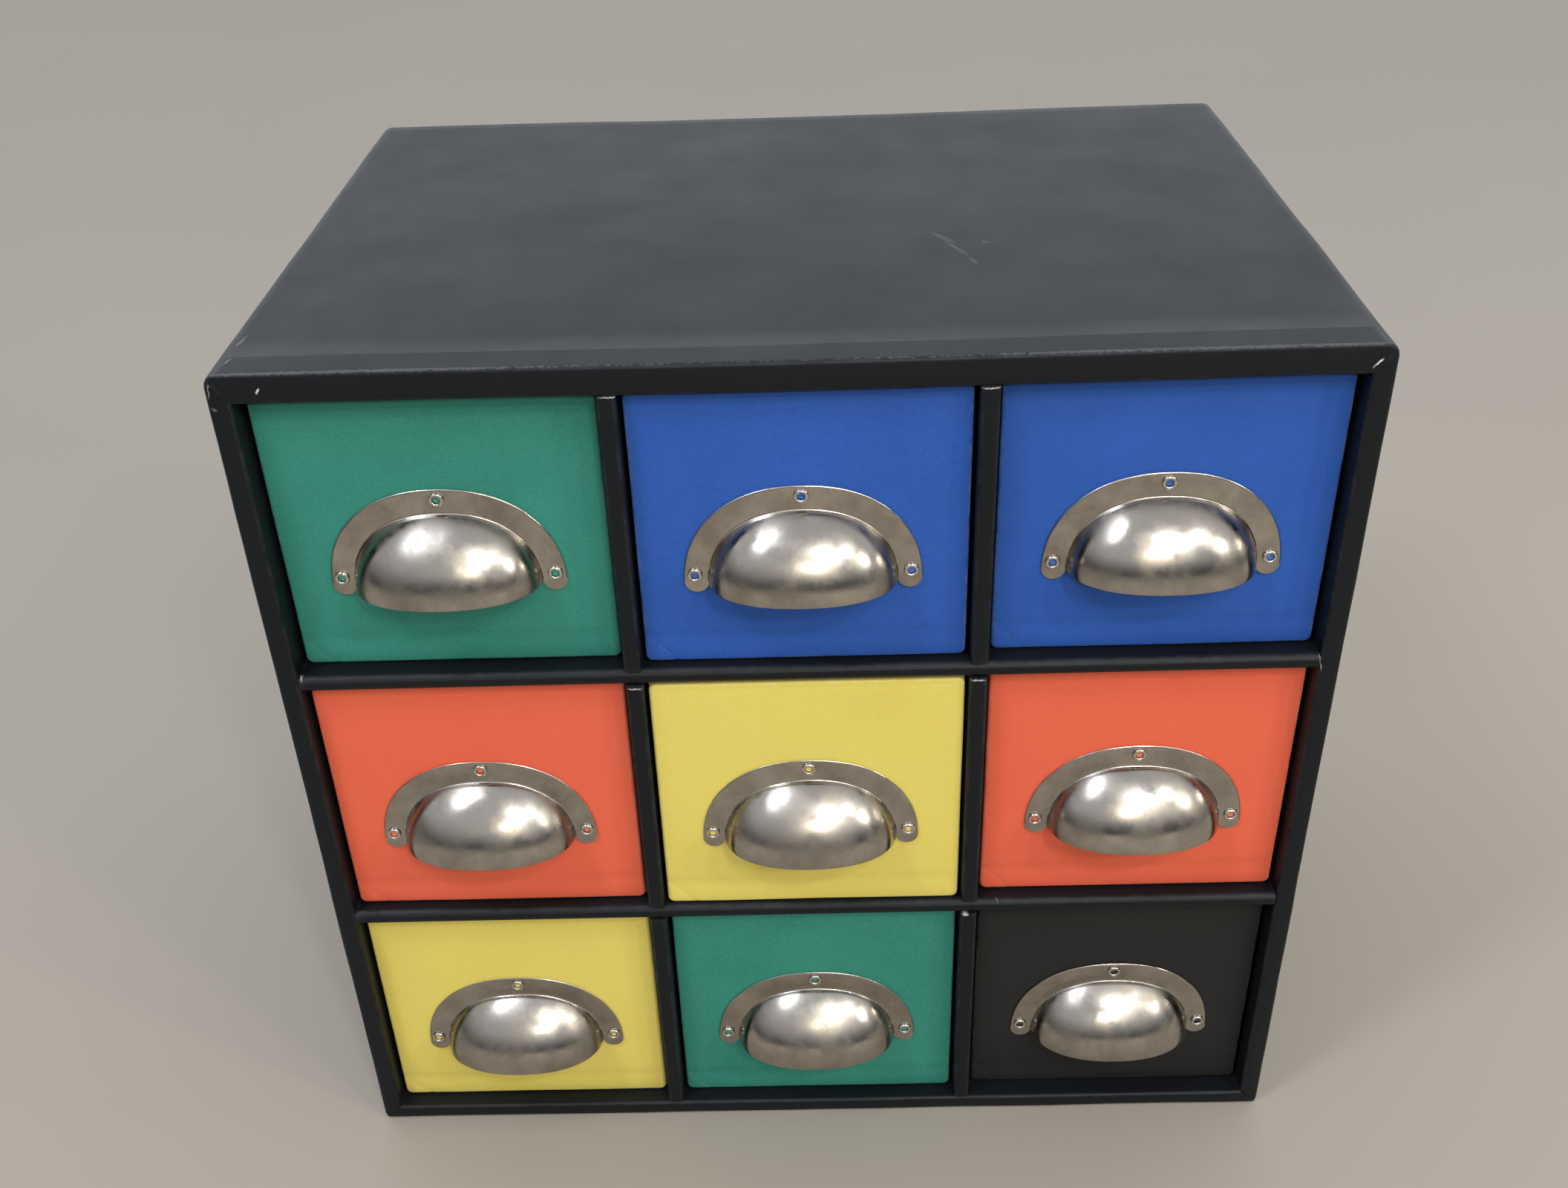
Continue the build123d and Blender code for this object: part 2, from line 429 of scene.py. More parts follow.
CASE_MARKS = (
    # Rubbed line along the top's front edge, and scuffs along its left and right edges
    Mark(0.0, 0.4, 327.9, 900.0, 1.1, amount=0.08, depth=1.3),
    Mark(-169.6, 24.0, 328.0, 8.0, 0.8, 80.0, 0.14, face=Face.TOP),
    Mark(-169.4, 9.3, 328.0, 5.0, 0.7, 75.0, 0.16, face=Face.TOP),
    Mark(174.2, 6.0, 327.4, 16.0, 1.4, 88.0, 0.16, face=Face.TOP),
    # Pale streak and specks on the top
    Mark(50.0, 98.0, 328.0, 15.0, 3.0, -58.0, 0.045, face=Face.TOP),
    Mark(54.0, 87.0, 328.0, 17.0, 1.6, -64.0, 0.055, face=Face.TOP),
    Mark(58.5, 75.0, 328.0, 7.0, 2.0, -70.0, 0.05, face=Face.TOP),
    Mark(64.0, 92.0, 328.0, 2.6, 2.2, 0.0, 0.06, face=Face.TOP),
    # Torn spots at the front corners
    Mark(-159.0, 0.0, 322.4, 2.3, 0.9, 60.0, 0.8),
    Mark(168.8, 0.5, 322.0, 5.0, 0.7, 47.0),
    Mark(-173.5, 0.5, 323.0, 6.0, 0.5, 84.0, 0.25),
    Mark(-173.0, 0.5, 316.7, 2.4, 1.2, -30.0, 0.12),
    # Raw paper edges at the heads of the dividers
    Mark(-55.8, 0.5, 317.2, 6.6, 0.6, -2.0, 0.6),
    Mark(56.9, 0.5, 317.0, 6.8, 0.6, -2.0, 0.6),
    Mark(-56.8, 0.5, 210.8, 5.0, 0.8, -2.0, 0.6),
    Mark(56.7, 0.5, 211.2, 5.0, 0.8, -2.0, 0.6),
    Mark(55.6, 0.5, 105.6, 2.6, 1.5, 0.0, 0.7),
    # Nicks and scratches at the shelf ends and on the lowest edge
    Mark(-167.3, 1.0, 218.3, 4.0, 0.7, -75.0, 0.5),
    Mark(-166.2, 1.5, 218.7, 3.2, 0.4, 60.0, 0.3),
    Mark(168.3, 0.5, 215.2, 7.5, 0.5, -80.0, 0.35),
    Mark(-166.6, 0.5, 117.0, 3.8, 0.6, 80.0, 0.6),
    Mark(65.4, 1.0, 114.4, 9.0, 0.5, -61.0, 0.35),
    Mark(52.0, 1.0, 8.5, 3.2, 0.9, 80.0, 0.8),
)

FINISHES: dict[Slot, BookPaper | NickelPlate] = {
    # Near black in front, a cool satin grey where the top catches the light, with pale edges that are partly
    # rubbed and partly a painted highlight, and torn spots
    Slot.BLACK: BookPaper(
        "black_bookbinding_paper", "#0F1216", "#0C0F12", "#4A4D54", 0.5, 0.16, CASE_MARKS, specular=0.23),
    # Deep sea green, even and matt, paler along the edges
    Slot.GREEN: BookPaper("green_uncoated_paper", "#3A8A78", "#2D7868", "#7FB0A4", 0.66, 0.3),
    # Strong clear blue, the most saturated of the papers
    Slot.BLUE: BookPaper("blue_uncoated_paper", "#2F5BAC", "#27509C", "#7E97C6", 0.66, 0.35),
    # Warm coral orange, which the middle row glows with
    Slot.ORANGE: BookPaper("orange_uncoated_paper", "#E4684A", "#DC6044", "#F0A48E", 0.66, 0.35),
    # Soft lemon yellow, the lightest patch on the front
    Slot.YELLOW: BookPaper("yellow_uncoated_paper", "#E0CE68", "#D8C55E", "#F0E6AE", 0.66, 0.35),
    # Warm charcoal, just lighter than the case's black
    Slot.CHARCOAL: BookPaper("charcoal_uncoated_paper", "#262524", "#222120", "#6A6660", 0.6, 0.25),
    # A warm grey mirror, clear in some patches and hazed by hands in others
    Slot.NICKEL: NickelPlate("worn_nickel_plate", "#B5AEA3", "#968E83", 0.12, 0.4),
    # Small clean glints on the rivets' rolled rings
    Slot.RIVET: NickelPlate("bright_nickel_plate", "#D0CBC2", "#C0B9AE", 0.14, 0.24),
}


def select_only(piece: Piece) -> None:
    """Select one piece alone and make it the active one.

    Args:
        piece: The piece, in object mode.
    """
    bpy.ops.object.select_all(action="DESELECT")
    piece.select_set(True)
    bpy.context.view_layer.objects.active = piece


def edit(piece: Piece) -> None:
    """Open one piece in edit mode, with everything else unselected."""
    select_only(piece)
    bpy.ops.object.mode_set(mode="EDIT")


def leave_edit() -> None:
    """Go back to object mode."""
    bpy.ops.object.mode_set(mode="OBJECT")


def start(add: Callable, name: str, **settings: object) -> Piece:
    """Add a primitive, put its place into its mesh, and open it in edit mode.

    Args:
        add: The operator that adds it.
        name: The piece's name.
        settings: The operator's settings.

    Returns:
        The piece, at the origin, unturned and unscaled.
    """
    bpy.ops.object.select_all(action="DESELECT")
    add(**settings)
    piece = bpy.context.active_object
    piece.name = piece.data.name = name
    bpy.ops.object.transform_apply(location=True, rotation=True, scale=True)
    bpy.ops.object.mode_set(mode="EDIT")
    return piece


def start_block(name: str, low: Vector, high: Vector) -> Piece:
    """Add a box between two corners and open it in edit mode."""
    return start(bpy.ops.mesh.primitive_cube_add, name, size=1.0, location=(low + high) / 2, scale=high - low)


def pick(piece: Piece, element: Element, test: Callable[[object], bool]) -> None:
    """Select in edit mode the elements that pass a test.

    Args:
        piece: The piece that is open in edit mode.
        element: What is selected.
        test: Takes a vertex, edge or face and says whether it is wanted.
    """
    bpy.ops.mesh.select_mode(type=element.value)
    bpy.ops.mesh.select_all(action="DESELECT")
    mesh = bmesh.from_edit_mesh(piece.data)
    mesh.normal_update()
    groups = {Element.VERTEX: mesh.verts, Element.EDGE: mesh.edges, Element.FACE: mesh.faces}
    for item in groups[element]:
        if test(item):
            item.select_set(True)
    mesh.select_flush_mode()
    bmesh.update_edit_mesh(piece.data)


def is_near(value: float, target: float) -> bool:
    """Say whether two lengths agree within a hair."""
    return abs(value - target) < NEAR


def edge_lies(edge: Edge, **planes: float) -> bool:
    """Say whether an edge lies in each of the planes given as x, y or z."""
    return all(is_near(getattr(vert.co, axis), at) for axis, at in planes.items() for vert in edge.verts)


def runs_along(edge: Edge, axis: Vector) -> bool:
    """Say whether an edge runs along an axis, either way."""
    return abs((edge.verts[0].co - edge.verts[1].co).normalized().dot(axis)) > ALONG


def is_sharp(edge: Edge) -> bool:
    """Say whether the two faces at an edge turn sharply."""
    return len(edge.link_faces) == 2 and edge.calc_face_angle() > math.radians(SHARP_DEGREES)


def round_off(piece: Piece, radius_mm: float, segments: int, test: Callable[[Edge], bool]) -> None:
    """Bevel to a round the edges of the open piece that pass a test."""
    pick(piece, Element.EDGE, test)
    bpy.ops.mesh.bevel(offset=radius_mm * MM, offset_type="OFFSET", segments=segments, profile=0.5,
                       affect="EDGES", clamp_overlap=True)


def move(y: float = 0.0, z: float = 0.0, **settings: object) -> None:
    """Move what is picked, by millimetres."""
    bpy.ops.transform.translate(value=(0, y * MM, z * MM), **settings)


def extrude_edges(y: float = 0.0, z: float = 0.0) -> None:
    """Extrude the picked edges, by millimetres."""
    bpy.ops.mesh.extrude_edges_move(TRANSFORM_OT_translate={"value": (0, y * MM, z * MM)})


def resize(about: Vector, x: float = 1.0, y: float = 1.0, z: float = 1.0) -> None:
    """Scale what is picked about a point."""
    bpy.ops.transform.resize(value=(x, y, z), center_override=about)


def close_seams() -> None:
    """Merge the vertices that lie together in the open piece and turn its faces one way."""
    bpy.ops.mesh.select_all(action="SELECT")
    bpy.ops.mesh.remove_doubles(threshold=CUT_REACH)
    bpy.ops.mesh.normals_make_consistent(inside=False)


def cut(point: Vector, normal: Vector, **settings: bool) -> None:
    """Cut the whole of the open piece along a plane, with the operator's settings for clearing or filling."""
    bpy.ops.mesh.select_all(action="SELECT")
    bpy.ops.mesh.bisect(plane_co=point, plane_no=normal, threshold=CUT_REACH, **settings)


def slice_at(axis: Vector, *stations: float) -> None:
    """Cut the open piece across an axis at places given in metres, so that it has edges to bend at."""
    for station in stations:
        cut(axis * station, axis)


def slice_evenly(axis: Vector, low: Vector, high: Vector, spacing_mm: float) -> None:
    """Cut the open piece across an axis into even steps between two corners of a box.

    Args:
        axis: A unit vector along X, Y or Z.
        low: The lower corner in metres.
        high: The higher corner in metres.
        spacing_mm: The widest step allowed.
    """
    first, last = low.dot(axis), high.dot(axis)
    count = max(1, math.ceil((last - first) / (spacing_mm * MM)))
    slice_at(axis, *(first + (last - first) * step / count for step in range(1, count)))


def fence_edges(low: Vector, high: Vector, margin: float) -> None:
    """Cut the open piece this far inside a box's faces, or outside if negative, to hold the pale wear and
    painted edge highlight at edges.
    """
    for axis in AXES:
        slice_at(axis, low.dot(axis) + margin, high.dot(axis) - margin)


def apply_modifier(piece: Piece, kind: str, **settings: object) -> None:
    """Add a modifier to a piece and apply it.

    Args:
        piece: The piece, in object mode.
        kind: Blender's name for the kind of modifier.
        settings: Values of its properties.
    """
    modifier = piece.modifiers.new(kind.lower(), kind)
    for name, value in settings.items():
        setattr(modifier, name, value)
    bpy.context.view_layer.objects.active = piece
    bpy.ops.object.modifier_apply(modifier=modifier.name)


def ripple(piece: Piece, size_mm: float, height_mm: float) -> None:
    """Give a board the faint hand-made waviness of glued paper.

    Args:
        piece: The board, in object mode.
        size_mm: How wide a swell is.
        height_mm: How high the swells are from the lowest to the highest.
    """
    texture = bpy.data.textures.new(f"{piece.name}_ripple", "CLOUDS")
    texture.noise_scale = size_mm * MM
    apply_modifier(piece, "DISPLACE", texture=texture, texture_coords="GLOBAL",
                   strength=height_mm * MM, mid_level=0.5)


def copy_piece(pattern: Piece, name: str, offset: Vector) -> Piece:
    """Copy a piece to another place, with a mesh of its own.

    Args:
        pattern: The piece that is copied.
        name: The copy's name.
        offset: How far the copy is moved, in metres.

    Returns:
        The copy, at the origin.
    """
    select_only(pattern)
    bpy.ops.object.duplicate(linked=False)
    piece = bpy.context.active_object
    piece.name = piece.data.name = name
    bpy.ops.transform.translate(value=offset)
    bpy.ops.object.transform_apply(location=True, rotation=True, scale=True)
    return piece


def remove_piece(piece: Piece) -> None:
    """Delete a pattern that has been copied.

    Args:
        piece: The pattern, in object mode.
    """
    mesh = piece.data
    bpy.data.objects.remove(piece)
    bpy.data.meshes.remove(mesh)


def join_pieces(pieces: list[Piece]) -> Piece:
    """Join pieces into the first of them.

    Args:
        pieces: The pieces, in object mode.

    Returns:
        The first piece, which now holds them all.
    """
    select_only(pieces[0])
    for piece in pieces:
        piece.select_set(True)
    bpy.ops.object.join()
    return pieces[0]


def write_edge_turn(piece: Piece) -> None:
    """Store on each vertex how sharply the surface turns there, for pale wear and a painted highlight along
    edges.

    Args:
        piece: The finished piece.
    """
    least, full = WEAR_AND_SHEEN_DEGREES
    mesh = bmesh.new()
    mesh.from_mesh(piece.data)
    mesh.normal_update()
    turns = []
    for vert in mesh.verts:
        angles = [edge.calc_face_angle(0.0) for edge in vert.link_edges]
        share = (math.degrees(max(angles, default=0.0)) - least) / (full - least)
        turns.append(min(1.0, max(0.0, share)))
    mesh.free()
    piece.data.attributes.new(EDGE_TURN, "FLOAT", "POINT").data.foreach_set("value", turns)


def finish_piece(piece: Piece, body: str, slot: Slot, material: Material, nodes: Iterable[str]) -> None:
    """Smooth, dress and hand over a finished piece.

    Args:
        piece: The piece, in object mode.
        body: The body that it rides on.
        slot: The record's slot that its finish belongs to.
        material: Its material.
        nodes: The CAD nodes that it stands for.
    """
    select_only(piece)
    crisp = METAL_CRISP_DEGREES if slot in (Slot.NICKEL, Slot.RIVET) else PAPER_CRISP_DEGREES
    bpy.ops.object.shade_smooth_by_angle(angle=math.radians(crisp))
    write_edge_turn(piece)
    piece.data.materials.clear()
    piece.data.materials.append(material)
    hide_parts(*nodes)
    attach(piece, body)
    log.info("%s: %d faces, rides on %s", piece.name, len(piece.data.polygons), body)


@dataclass
class Carcass:
    """Case, back, shelves and dividers of board, covered with black paper.

    Sizes are in millimetres. The corners of the case and of its opening come from the frame, in metres.
    """

    material: Material
    top_corner_round: float = 4.4
    bottom_corner_round: float = 2.0
    outer_edge_round: float = 1.3
    edge_hold: float = 0.4
    inner_edge_round: float = 1.5
    shelf_edge_round: float = 2.8
    divider_edge_round: float = 1.5
    rear_edge_round: float = 0.8
    bend_spacing: float = 12.0
    depth_spacing: float = 48.0
    turned_strip: float = 12.0
    turned_strip_step: float = 0.35
    mitre_step: float = 0.3
    paper_thickness: float = 0.16
    top_sag: float = 0.7
    sag_reach: float = 165.0
    sag_ridge: float = 7.2
    ripple_height: float = 0.65
    ripple_size: float = 45.0
    low: Vector = field(init=False)
    high: Vector = field(init=False)
    inner_low: Vector = field(init=False)
    inner_high: Vector = field(init=False)

    def __post_init__(self) -> None:
        """Read the corners of the case and of its opening."""
        top, bottom, left, right = (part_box(node) for node in CASE_BOARDS)
        self.low = Vector((left[0].x, top[0].y, bottom[0].z))
        self.high = Vector((right[1].x, top[1].y, top[1].z))
        self.inner_low = Vector((left[1].x, self.low.y, bottom[1].z))
        self.inner_high = Vector((right[0].x, self.high.y, top[0].z))

    def build(self) -> None:
        """Build and dress every board of the carcass."""
        self.build_case()
        self.build_back()
        for shelf in ("upper_shelf", "lower_shelf"):
            self.build_inner_board(shelf, X_AXIS, self.shelf_edge_round)
        for row in ("upper", "middle", "lower"):
            for side in ("left", "right"):
                self.build_inner_board(f"{row}_{side}_divider", Z_AXIS, self.divider_edge_round)

    def dress(self, board: Piece, node: str) -> None:
        """Finish a board with the black paper."""
        finish_piece(board, CABINET_BODY, Slot.BLACK, self.material, [node])

    def build_case(self) -> None:
        """Model the case as one ring, bend it a little, and part it at the mitres into four boards."""
        ring = self.model_ring()
        (left, _, bottom), (right, _, top) = self.low, self.high
        outer = {"left": left, "right": right, "bottom": bottom, "top": top}
        (left, _, bottom), (right, _, top) = self.inner_low, self.inner_high
        inner = {"left": left, "right": right, "bottom": bottom, "top": top}
        for node, corners in CASE_BOARDS.items():
            board = copy_piece(ring, f"{node}_paper", Vector())
            edit(board)
            ends = [Vector((outer[side], 0, outer[level])) for side, level in corners]
            for end, (side, level) in zip(ends, corners):
                across = Y_AXIS.cross(Vector((inner[side], 0, inner[level])) - end).normalized()
                if across.dot(ends[0] + ends[1] - 2 * end) > 0:
                    across.negate()
                cut(end, across, use_fill=True, clear_outer=True)
            if node in ("top_board", "bottom_board"):
                # Their paper is folded over the sides' paper, so a step shows along the mitre
                fold = self.low.y + (self.outer_edge_round + self.inner_edge_round) * MM
                pick(board, Element.VERTEX, lambda vert: vert.co.y < fold)
                move(y=-self.mitre_step)
            leave_edit()
            self.dress(board, node)
        remove_piece(ring)

    def model_ring(self) -> Piece:
        """Model the case's ring with its rounded edges, turned paper strip, sag and ripple.

        Returns:
            The ring, in object mode.
        """
        low, high = self.low, self.high
        ring = self.model_sharp_ring()
        for x in (low.x, high.x):
            for z, radius in ((low.z, self.bottom_corner_round), (high.z, self.top_corner_round)):
                round_off(ring, radius, WIDE_STEPS, lambda edge: edge_lies(edge, x=x, z=z))
        round_off(ring, self.outer_edge_round, NARROW_STEPS,
                  lambda edge: edge_lies(edge, y=low.y) and is_sharp(edge) and not self.is_inner(edge))
        round_off(ring, self.inner_edge_round, WIDE_STEPS,
                  lambda edge: edge_lies(edge, y=low.y) and is_sharp(edge) and self.is_inner(edge))
        round_off(ring, self.rear_edge_round, FINE_STEPS,
                  lambda edge: edge_lies(edge, y=high.y) and is_sharp(edge))

        fence_edges(low, high, self.top_corner_round * MM + WEAR_AND_SHEEN_WIDTH)
        fence_edges(self.inner_low, self.inner_high, -self.inner_edge_round * MM - WEAR_AND_SHEEN_WIDTH)
        slice_at(Y_AXIS, low.y + (self.outer_edge_round + self.edge_hold) * MM)
        for axis in AXES:
            slice_evenly(axis, low, high, self.bend_spacing)
        strip_end = low.y + self.turned_strip * MM
        slice_at(Y_AXIS, strip_end, strip_end + self.turned_strip_step * MM)
        pick(ring, Element.VERTEX, lambda vert: is_near(vert.co.z, high.z) and vert.co.y < strip_end + NEAR)
        move(z=self.paper_thickness)

        ridge, board_low = self.sag_ridge * MM, self.inner_high.z - NEAR
        pick(ring, Element.VERTEX, lambda vert: abs(vert.co.x) < ridge and vert.co.z > board_low)
        move(z=-self.top_sag, use_proportional_edit=True, proportional_edit_falloff="SMOOTH",
             proportional_size=self.sag_reach * MM)
        leave_edit()
        ripple(ring, self.ripple_size, self.ripple_height)
        return ring

    def is_inner(self, edge: Edge) -> bool:
        """Say whether an edge lies within the case's opening, seen from the front."""
        low, high = self.inner_low, self.inner_high
        return all(low.x - NEAR <= vert.co.x <= high.x + NEAR and low.z - NEAR <= vert.co.z <= high.z + NEAR
                   for vert in edge.verts)

    def model_sharp_ring(self) -> Piece:
        """Model the case's ring with sharp edges, from a plane that is inset, opened and extruded.

        Returns:
            The ring, open in edit mode.
        """
        low, high = self.low, self.high
        middle = Vector((0, low.y, (low.z + high.z) / 2))
        ring = start(bpy.ops.mesh.primitive_plane_add, "case_ring", size=1.0, location=middle,
                     rotation=(math.pi / 2, 0, 0))
        bpy.ops.mesh.select_all(action="SELECT")
        resize(middle, x=high.x - low.x, z=high.z - low.z)
        inset = self.inner_low.x - low.x
        bpy.ops.mesh.inset(thickness=inset, depth=0)
        resize(middle, z=(self.inner_high.z - self.inner_low.z) / (high.z - low.z - 2 * inset))
        inner_middle = (self.inner_low.z + self.inner_high.z) / 2
        bpy.ops.transform.translate(value=(0, 0, inner_middle - middle.z))
        bpy.ops.mesh.delete(type="FACE")
        bpy.ops.mesh.select_all(action="SELECT")
        bpy.ops.mesh.extrude_region_move(TRANSFORM_OT_translate={"value": (0, high.y - low.y, 0)})
        bpy.ops.mesh.select_all(action="SELECT")
        bpy.ops.mesh.normals_make_consistent(inside=False)
        return ring

    def build_back(self) -> None:
        """Model the back panel with the border of paper that is turned onto it from the case."""
        low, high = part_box("back_board")
        panel = start_block("back_board_paper", low, high)
        pick(panel, Element.FACE, lambda face: face.normal.y > ALONG)
        bpy.ops.mesh.inset(thickness=self.turned_strip * MM, depth=0)
        bpy.ops.mesh.inset(thickness=self.turned_strip_step * MM, depth=-self.paper_thickness * MM)
        fence_edges(low, high, WEAR_AND_SHEEN_WIDTH)
        slice_evenly(X_AXIS, low, high, self.bend_spacing)
        slice_evenly(Z_AXIS, low, high, self.bend_spacing)
        leave_edit()
        self.dress(panel, "back_board")

    def build_inner_board(self, node: str, along: Vector, edge_round: float) -> None:
        """Model a shelf or divider with paper turned round its front edge.

        Args:
            node: The CAD node that it stands for.
            along: Unit vector along the front edge.
            edge_round: Radius of the front edge's two corners.
        """
        low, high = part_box(node)
        board = start_block(f"{node}_paper", low, high)
        round_off(board, edge_round, WIDE_STEPS,
                  lambda edge: edge_lies(edge, y=low.y) and runs_along(edge, along))
        fence_edges(low, high, edge_round * MM + WEAR_AND_SHEEN_WIDTH)
        slice_evenly(along, low, high, self.bend_spacing)
        slice_evenly(Y_AXIS, low, high, self.depth_spacing)
        leave_edit()
        self.dress(board, node)


@dataclass
class CupPull:
    """Pressed half-round cup pull on a flat flange with two round ears, made from one skin.

    Sizes are in millimetres. Across is X, up is Z and out of the drawer is -Y. The cup's middle section
    follows an ellipse whose middle lies behind the drawer front by the slant. The lip's plan is a little
    fuller than an ellipse. The lip is the middle of the lip on the drawer front, in metres.
    """

    half_width: float = 30.2
    rise: float = 26.0
    reach: float = 18.5
    slant: float = 26.0
    fullness: float = 2.22
    flange_width: float = 7.8
    foot_radius: float = 0.8
    foot_clean: float = 0.3
    rim_round: float = 0.42
    rim_roll: float = 0.8
    rim_roll_degrees: float = 52.0
    segments: int = 96
    rings: int = 64
    # Radians within which a vertex belongs to a meridian
    meridian_reach: float = 0.01
    foot_steps: int = 5
    flange_steps: int = 4
    rim_steps: int = 4
    ear_steps: int = 8
    ear_last_degrees: float = 84.0
    lip: Vector = field(default_factory=Vector)
    skin: Piece | None = None

    @property
    def foot(self) -> float:
        """How far out of the drawer front the cup's wall ends and its foot's fillet begins."""
        return PULL_SHEET + self.foot_radius

    @property
    def profile_depth(self) -> float:
        """Half depth of the profile's ellipse."""
        return self.reach + self.slant

    @property
    def profile_height(self) -> float:
        """Half height of the profile's ellipse."""
        return self.rise / math.sin(self.profile_turn(0.0))

    def profile_turn(self, out: float) -> float:
        """Give the angle on the profile's ellipse at a distance out of the drawer front."""
        return math.acos((self.slant + out) / self.profile_depth)

    def plan(self, out: float) -> float:
        """Give the half width of the lip's plan at a distance out of the drawer front."""
        return self.half_width * (1 - (out / self.reach) ** self.fullness) ** (1 / self.fullness)

    def lip_point(self, place: str) -> Vector:
        """Find the middle of a pull's lip on the drawer front, in metres."""
        low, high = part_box(f"{place}_cup_pull")
        return Vector(((low.x + high.x) / 2, high.y, high.z - (self.rise + self.flange_width) * MM))

    def model(self, lip: Vector) -> Piece:
        """Press the cup, foot, flange and ears from one skin and give it the sheet's thickness.

        Args:
            lip: The middle of the lip on the drawer front.

        Returns:
            The pull, in object mode.
        """
        self.lip = lip
        self.press_cup()
        self.trim_foot()
        self.press_flange()
        self.press_ears()
        close_seams()
        leave_edit()
        self.face_out()
        apply_modifier(self.skin, "SOLIDIFY", thickness=PULL_SHEET * MM, offset=-1.0)
        apply_modifier(self.skin, "BEVEL", width=self.rim_round * MM, segments=NARROW_STEPS,
                       limit_method="ANGLE", angle_limit=math.radians(METAL_CRISP_DEGREES))
        return self.skin

    def press_cup(self) -> None:
        """Make a quarter of a globe and set its meridians on the profile and its rings on the plan."""
        lip = self.lip
        self.skin = start(bpy.ops.mesh.primitive_uv_sphere_add, "cup_pull_pattern", segments=self.segments,
                          ring_count=self.rings, radius=MM, location=lip, rotation=(0, math.pi / 2, 0))
        pick(self.skin, Element.VERTEX,
             lambda vert: vert.co.z < lip.z - CUT_REACH or vert.co.y > lip.y + CUT_REACH)
        bpy.ops.mesh.delete(type="VERT")
        quarter = self.segments // 4
        # From the drawer front down to the lip, because a set meridian moves up and isn't picked again
        for number in range(quarter, -1, -1):
            angle = math.pi / 2 * number / quarter
            turn = self.profile_turn(0.0) * number / quarter

            def on_meridian(vert: Vertex) -> bool:
                """Say whether a vertex off the axis lies at this meridian's angle."""
                out, up = lip.y - vert.co.y, vert.co.z - lip.z
                off = abs(math.atan2(up, out) - angle)
                return math.hypot(out, up) > CUT_REACH and off < self.meridian_reach

            pick(self.skin, Element.VERTEX, on_meridian)
            out = self.profile_depth * math.cos(turn) - self.slant
            up = self.profile_height * math.sin(turn)
            resize(lip, y=out / math.cos(angle) if number < quarter else 1.0,
                   z=up / math.sin(angle) if number else 1.0)
        for number in range(self.rings // 2):
            polar = math.pi * number / self.rings
            across = math.cos(polar)
            pick(self.skin, Element.VERTEX,
                 lambda vert: abs(abs(vert.co.x - lip.x) - across * MM) < CUT_REACH)
            resize(lip, x=self.plan(self.reach * math.sin(polar)) / across)

    def trim_foot(self) -> None:
        """Cut the skin off level where its foot begins, and clear the slivers that the cut leaves."""
        lip, clean = self.lip, self.foot_clean * MM
        level = Vector((lip.x, lip.y - self.foot * MM, lip.z))
        cut(level, Y_AXIS, clear_outer=True)
        # The cut leaves its vertices in no fixed order, which would change what is merged from run to run
        bpy.ops.mesh.select_all(action="SELECT")
        bpy.context.scene.cursor.location = SORT_FROM
        bpy.ops.mesh.sort_elements(type="CURSOR_DISTANCE", elements={"VERT", "EDGE", "FACE"})

        def is_rim(vert: Vertex) -> bool:
            """Say whether a vertex is on the edge that the cut made."""
            return vert.is_boundary and vert.co.y > level.y - clean

        pick(self.skin, Element.VERTEX, lambda vert: vert.co.y > level.y - clean)
        bpy.ops.mesh.remove_doubles(threshold=clean)
        # Merging moves vertices, so the rim is set level again and its two ends back on the lip
        pick(self.skin, Element.VERTEX, is_rim)
        resize(level, y=0.0)
        pick(self.skin, Element.VERTEX, lambda vert: is_rim(vert) and vert.co.z < lip.z + clean)
        resize(lip, z=0.0)

    def flange_outlines(self) -> list[Triple]:
        """Follow the skin from the cup's wall over the foot's fillet and the flat flange to its rolled rim.

        Returns:
            At each step the half width, the height and the way back from the wall's end.
        """
        across = self.plan(self.foot)
        up = self.profile_height * math.sin(self.profile_turn(self.foot))
        outlines = []
        for step in range(self.foot_steps + 1):
            turn = math.pi / 2 * step / self.foot_steps
            grown = self.foot_radius * (1 - math.cos(turn))
            outlines.append((across + grown, up + grown, self.foot_radius * math.sin(turn)))
        wide, high, back = outlines[-1]
        last_roll = math.radians(self.rim_roll_degrees)
        flat = self.flange_width - self.rim_roll * math.sin(last_roll)
        for step in range(1, self.flange_steps + 1):
            share = step / self.flange_steps
            outlines.append((wide + (self.half_width + flat - wide) * share,
                             high + (self.rise + flat - high) * share, back))
        for step in range(1, self.rim_steps + 1):
            turn = last_roll * step / self.rim_steps
            grown = flat + self.rim_roll * math.sin(turn)
            rolled = self.rim_roll * (1 - math.cos(turn))
            outlines.append((self.half_width + grown, self.rise + grown, back + rolled))
        return outlines

    def press_flange(self) -> None:
        """Extrude the foot, the flange and its rim from the end of the cup's wall."""
        foot_y = self.lip.y - self.foot * MM
        pick(self.skin, Element.EDGE, lambda edge: edge_lies(edge, y=foot_y) and edge.is_boundary)
        for (last_wide, last_high, last_back), (wide, high, back) in pairwise(self.flange_outlines()):
            extrude_edges(y=back - last_back)
            resize(self.lip, x=wide / last_wide, z=high / last_high)

